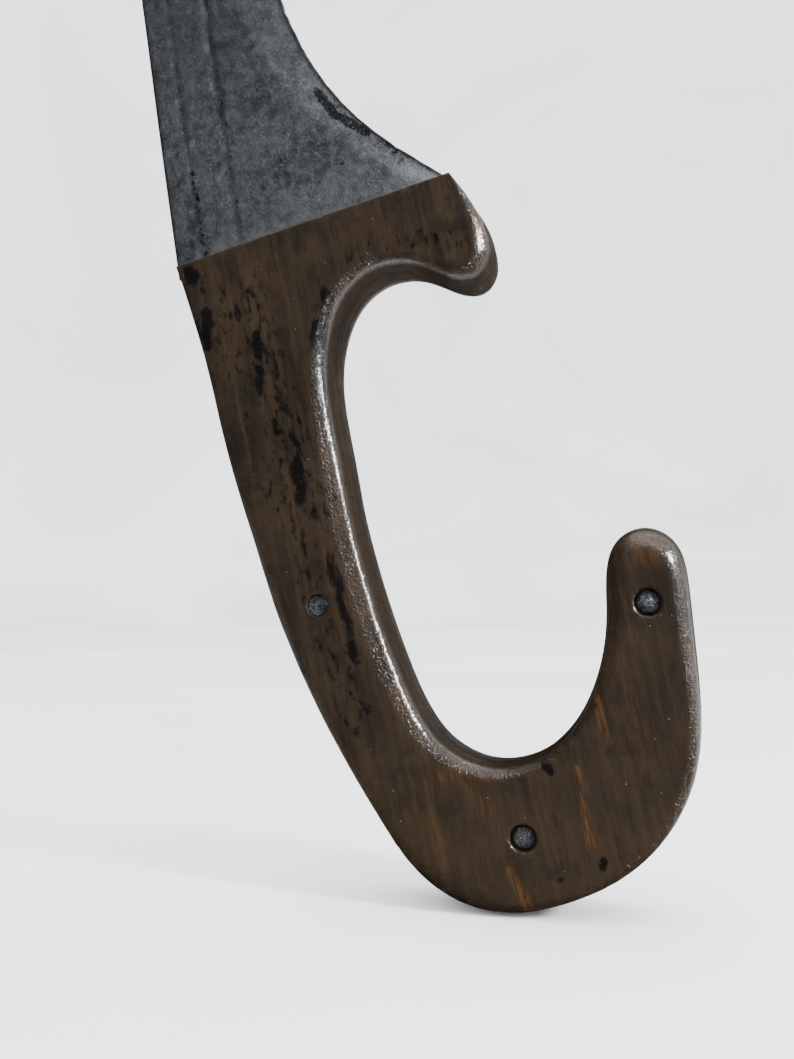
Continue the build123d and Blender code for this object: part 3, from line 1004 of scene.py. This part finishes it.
def wood_material():
    """Old oiled walnut: near-upright grain, dark mottling, orange streaks and black patches, with
    painted shade on the side walls and the inner ridge and a painted dark reflection under the
    guard.
    """
    material, tree, shader = new_material("old_walnut")
    place = coordinates(tree)
    grain = coordinates(tree, WOOD_TILT, (1.0, 1.0, 0.045))
    fibre = coordinates(tree, WOOD_TILT, (1.0, 1.0, 0.08))

    mottle = patches(tree, place, 22.0, 4.0, 0.6, 0.36, 0.62)
    colour = layer(tree, WOOD_DARK, WOOD_BROWN, mottle)
    rings = step(tree, cloud(tree, grain, 2.6, 5.0, 0.66, 0.6), 0.42, 0.64)
    colour = layer(tree, colour, WOOD_LIGHT, rings, 0.65)
    murk = patches(tree, place, 6.5, 6.0, 0.7, 0.5, 0.7)
    colour = layer(tree, colour, WOOD_MURK, murk, 0.9)
    pores = patches(tree, fibre, 0.42, 4.0, 0.65, 0.47, 0.7)
    colour = layer(tree, colour, WOOD_PORE, pores, 0.6)
    warm = patches(tree, grain, 1.3, 4.0, 0.6, 0.5, 0.72)
    colour = layer(tree, colour, WOOD_WARM, warm, 0.28)

    height = put(tree, "ShaderNodeSeparateXYZ", Vector=place).outputs["Z"]
    # lighter towards the bottom of the grip, from 5 mm down to -40 mm
    lighter_lower_down = step(tree, height, 5.0, -40.0, 0.0, 0.15)
    colour = layer(tree, colour, WOOD_LIGHT, lighter_lower_down)

    broken = patches(tree, fibre, 0.7, 5.0, 0.7, 0.42, 0.66)
    streak = times(tree, attribute(tree, "streak"), broken)
    colour = layer(tree, colour, WOOD_ORANGE, streak)
    blotch = coordinates(tree, WOOD_TILT, (1.0, 1.0, 0.4))
    # black stain patches; along the grip's inner ridge they are partly painted shade, and along the
    # guard's underside a painted dark reflection
    dark_marks = ragged(tree, attribute(tree, "dark_marks"), blotch, 1.3)
    stray = patches(tree, fibre, 2.4, 6.0, 0.72, 0.69, 0.74)
    dark_marks = maths(tree, "MAXIMUM", dark_marks, stray)
    colour = layer(tree, colour, WOOD_BLACK, dark_marks, 0.9)
    dust = step(tree, spots(tree, place, 1.9), 0.06, 0.035)
    sparse = patches(tree, place, 4.0, 2.0, 0.55, 0.52, 0.6)
    dust = times(tree, dust, sparse)
    colour = layer(tree, colour, WOOD_DUST, dust, 0.8)
    wall = attribute(tree, "wall")
    # painted shade: the side walls are darkened, most towards the mid-plane
    colour = layer(tree, colour, WOOD_DARK, wall, 0.5)

    gloss = step(tree, cloud(tree, place, 3.0, 5.0, 0.65), 0.35, 0.7, 0.38, 0.6)
    dull = maths(tree, "ADD", gloss, times(tree, wall, 0.1))
    normal = put(tree, "ShaderNodeTexCoord").outputs["Normal"]
    side = put(tree, "ShaderNodeSeparateXYZ", Vector=normal).outputs["X"]
    palmed = step(tree, side, -0.6, -0.15, 0.15, 1.0)  # the palm has rubbed the spine side dull
    specular = times(tree, palmed, step(tree, wall, 0.0, 1.0, 0.03, 0.004))
    rim = attribute(tree, "rim")
    thick = maths(tree, "ADD", 0.22, times(tree, rim, 0.2))
    varnish = times(tree, thick, step(tree, wall, 0.0, 1.0, 1.0, 0.08))
    varnish = times(tree, varnish, palmed)
    peel = bump(tree, cloud(tree, place, 0.7, 3.0, 0.65), 0.10, 0.8)
    ribs = bump(tree, cloud(tree, fibre, 0.5, 3.0, 0.6), 0.07, 0.7, peel)
    crazed = times(tree, rim, patches(tree, place, 0.6, 2.0, 0.6, 0.48, 0.6))
    beads = bump(tree, crazed, 0.09, 1.0, ribs)
    wire(tree, shader, Base_Color=colour, Roughness=dull, Specular_IOR_Level=specular)
    wire(tree, shader, Coat_Weight=varnish, Coat_Roughness=0.15)
    wire(tree, shader, Normal=beads, Coat_Normal=beads)
    return material


def blade_material():
    """Forged steel under a dark blue-grey patina, worn bright near the hilt, with painted glints and
    painted shade darkening it towards the top.
    """
    material, tree, shader = new_material("patinated_steel")
    place = coordinates(tree)
    drawn = coordinates(tree, 12.0, (1.0, 1.0, 0.22))

    clouded = patches(tree, place, 11.0, 6.0, 0.68, 0.36, 0.64)
    colour = layer(tree, STEEL_DARK, STEEL_GREY, clouded)
    mottle = patches(tree, place, 2.4, 7.0, 0.75, 0.4, 0.66)
    colour = layer(tree, colour, STEEL_PALE, mottle, 0.5)
    drag = patches(tree, drawn, 1.5, 5.0, 0.65, 0.5, 0.7)
    colour = layer(tree, colour, STEEL_BLACK, drag, 0.45)
    rubbed = patches(tree, place, 3.5, 6.0, 0.72, 0.3, 0.62)
    worn = times(tree, attribute(tree, "worn"), rubbed)
    colour = layer(tree, colour, STEEL_WORN, worn, 0.8)
    broken = patches(tree, drawn, 2.2, 5.0, 0.7, 0.3, 0.6)
    groove = times(tree, attribute(tree, "groove"), broken)
    colour = layer(tree, colour, STEEL_BLACK, groove, 0.35)
    dark_marks = ragged(tree, attribute(tree, "dark_marks"), place, 1.1)
    colour = layer(tree, colour, STEEL_NEAR_BLACK, dark_marks, 0.92)
    # darker along the spine and along the edge
    colour = layer(tree, colour, STEEL_NEAR_BLACK, attribute(tree, "border"), 0.8)
    clusters = patches(tree, place, 4.0, 5.0, 0.7, 0.4, 0.62)
    speck = times(tree, patches(tree, place, 0.42, 2.0, 0.6, 0.57, 0.66), clusters)
    colour = layer(tree, colour, STEEL_PALE, speck, 0.8)
    height = put(tree, "ShaderNodeSeparateXYZ", Vector=place).outputs["Z"]
    # painted shade: the blade darkens towards the top, from 78 mm up to 118 mm
    colour = layer(tree, colour, STEEL_DARK, step(tree, height, 78.0, 118.0, 0.0, 0.5))
    # painted glints: bright specks in the colour, in scattered clusters
    sparse = patches(tree, place, 1.7, 4.0, 0.7, 0.5, 0.62)
    painted_glints = times(tree, step(tree, spots(tree, place, 0.7), 0.16, 0.08), sparse)
    colour = layer(tree, colour, STEEL_GLINT, painted_glints, 0.35)

    metal = step(tree, dark_marks, 0.0, 1.0, 0.55, 1.0)
    gloss = step(tree, cloud(tree, place, 2.0, 6.0, 0.7), 0.3, 0.7, 0.42, 0.66)
    grit = bump(tree, cloud(tree, place, 0.6, 5.0, 0.7), 0.16, 0.9)
    scale = bump(tree, cloud(tree, place, 2.6, 6.0, 0.7), 0.28, 0.6, grit)
    wire(tree, shader, Base_Color=colour, Metallic=metal, Roughness=gloss)
    wire(tree, shader, Specular_IOR_Level=0.2, Normal=scale)
    return material


def iron_material():
    """Hammered iron rivets, dark with rubbed high spots, lightened partly as wear and partly as
    painted highlights.
    """
    material, tree, shader = new_material("hammered_iron")
    place = coordinates(tree)
    mottle = patches(tree, place, 1.1, 6.0, 0.7, 0.38, 0.62)
    colour = layer(tree, IRON_DARK, IRON_GREY, mottle)
    # rubbed spots, lightened partly as wear and partly as painted highlight
    rubbed = patches(tree, place, 0.5, 5.0, 0.7, 0.54, 0.66)
    colour = layer(tree, colour, IRON_RUBBED_GLINT, rubbed, 0.7)
    gloss = step(tree, cloud(tree, place, 0.8, 4.0), 0.3, 0.7, 0.36, 0.6)
    marks = bump(tree, cloud(tree, place, 0.6, 4.0, 0.65), 0.35, 0.8)
    wire(tree, shader, Base_Color=colour, Metallic=0.6, Roughness=gloss, Normal=marks)
    return material


def cloth_material():
    """The white cloth that the object stands on, with faint gentle creases and broad patches of
    painted shade from folds; its noise is in metres.
    """
    material, tree, shader = new_material("white_cloth")
    place = put(tree, "ShaderNodeTexCoord").outputs["Object"]
    # painted shade: broad darker patches stand for the shade of folds in the cloth
    fold_shade = step(tree, cloud(tree, place, 0.55, 4.0, 0.45, 1.2), 0.32, 0.6)
    colour = layer(tree, CLOTH_SHADE, CLOTH_WHITE, fold_shade)
    creases = bump(tree, cloud(tree, place, 0.12, 3.0), 6.0, 0.35)
    wire(tree, shader, Base_Color=colour, Roughness=0.9, Specular_IOR_Level=0.1, Normal=creases)
    return material


def plain_material(name, colour):
    """One matt colour, for what only reflections see."""
    material, tree, shader = new_material(name)
    wire(tree, shader, Base_Color=(*colour, 1.0), Roughness=1.0, Specular_IOR_Level=0.0)
    return material


# ---- studio ----
def build_stage(floor_height):
    """A round floor that curves up into a wall, far outside every view's camera."""
    flat, corner, wall = STAGE_FLAT, STAGE_CORNER, STAGE_WALL
    profile = [(r, 0.0) for r in np.linspace(0.05, flat, 14)]
    for a in np.linspace(0, math.pi / 2, 16)[1:]:
        profile.append((flat + corner * math.sin(a), corner * (1 - math.cos(a))))
    profile.append((flat + corner, wall))
    turns = 96
    vertices = [(0.0, 0.0, floor_height)]
    for radius, height in profile:
        level = floor_height + height
        vertices += [(x, y, level) for x, _, y in ring((0.0, 0.0), radius, 0.0, turns)]
    faces = fan(1, turns, 0)
    for start in range(1, 1 + (len(profile) - 1) * turns, turns):
        faces += band(start + turns, start, turns)
    stage = make_object("stage_cloth", np.array(vertices) / MM, faces, cloth_material())


def build_flag(material, low, name, plan, high, inner):
    """A dark card that only reflections see, so that a broad face doesn't glare.

    It stands on the plan's line of (x, y) points, and lies on the floor from there in to y = inner.
    """
    count = len(plan)
    vertices = [(x, y, z) for z in (low, high) for x, y in plan]
    faces = [(i, i + 1, count + i + 1, count + i) for i in range(count - 1)]
    vertices += [(plan[0][0], inner, low), (plan[-1][0], inner, low)]
    faces.append((*range(count), 2 * count + 1, 2 * count))
    flag = make_object(name, np.array(vertices) / MM, faces, material)
    flag.visible_camera = False
    flag.visible_diffuse = False
    flag.visible_shadow = False


def area_light(name, place, size, power, on_matt):
    """A round lamp that faces the light target."""
    light = bpy.data.lights.new(name, "AREA")
    light.shape = "DISK"
    light.size = size
    light.energy = power
    obj = new_object(name, light)
    obj.visible_diffuse = on_matt
    obj.location = place
    aim = Vector(LIGHT_TARGET) - Vector(place)
    obj.rotation_euler = aim.to_track_quat("-Z", "Y").to_euler()


def build_camera():
    """The camera, on the photograph's line of sight."""
    yaw, pitch = math.radians(CAMERA_YAW), math.radians(CAMERA_PITCH)
    level = math.cos(pitch)
    ahead = Vector((-math.sin(yaw) * level, math.cos(yaw) * level, math.sin(pitch)))
    data = bpy.data.cameras.new("camera")
    data.lens = CAMERA_LENS
    data.sensor_width = 36.0
    data.clip_start = 0.01
    camera = new_object("camera", data)
    camera.location = (Vector(CAMERA_TARGET) - ahead * CAMERA_DISTANCE) * MM
    camera.rotation_euler = ahead.to_track_quat("-Z", "Y").to_euler()
    bpy.context.scene.camera = camera


def build_world():
    """Even, slightly cool light from all round."""
    world = bpy.data.worlds.new("studio")
    world.use_nodes = True
    background = world.node_tree.nodes["Background"]
    background.inputs["Color"].default_value = (*WORLD_COLOUR, 1.0)
    background.inputs["Strength"].default_value = WORLD_STRENGTH
    bpy.context.scene.world = world


def add_piece(piece, node):
    """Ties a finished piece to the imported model."""
    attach(piece, "root")
    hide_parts(node)


# ---- assembly ----
build_camera()
build_world()
build_stage(cad_low[2])
dark_card = plain_material("dark_card", FLAG_COLOUR)
for flag in FLAGS:
    build_flag(dark_card, cad_low[2] + FLAG_LIFT, *flag)
for light in LIGHTS:
    area_light(*light)

wood = wood_material()
for side, node in ((-1, "grip_scale_front"), (1, "grip_scale_back")):
    scale = build_scale(side, wood)
    paint(scale, "dark_marks", WOOD_STAINS_AND_SHADE, STAIN_AND_SHADE_DEPTH)
    paint(scale, "streak", WOOD_STREAKS, STREAK_DEPTH)
    paint_rim(scale)
    add_piece(scale, node)

blade = build_blade(blade_material())
paint(blade, "dark_marks", BLADE_STAINS)
paint(blade, "worn", BLADE_WORN)
paint_blade_lines(blade)
add_piece(blade, "blade")

iron = iron_material()
for order, name in enumerate(HOLE_RADIUS):
    add_piece(build_rivet(name, order, iron), f"rivet_{name}")
    add_piece(build_burr(name, order, iron), f"rivet_burr_{name}")
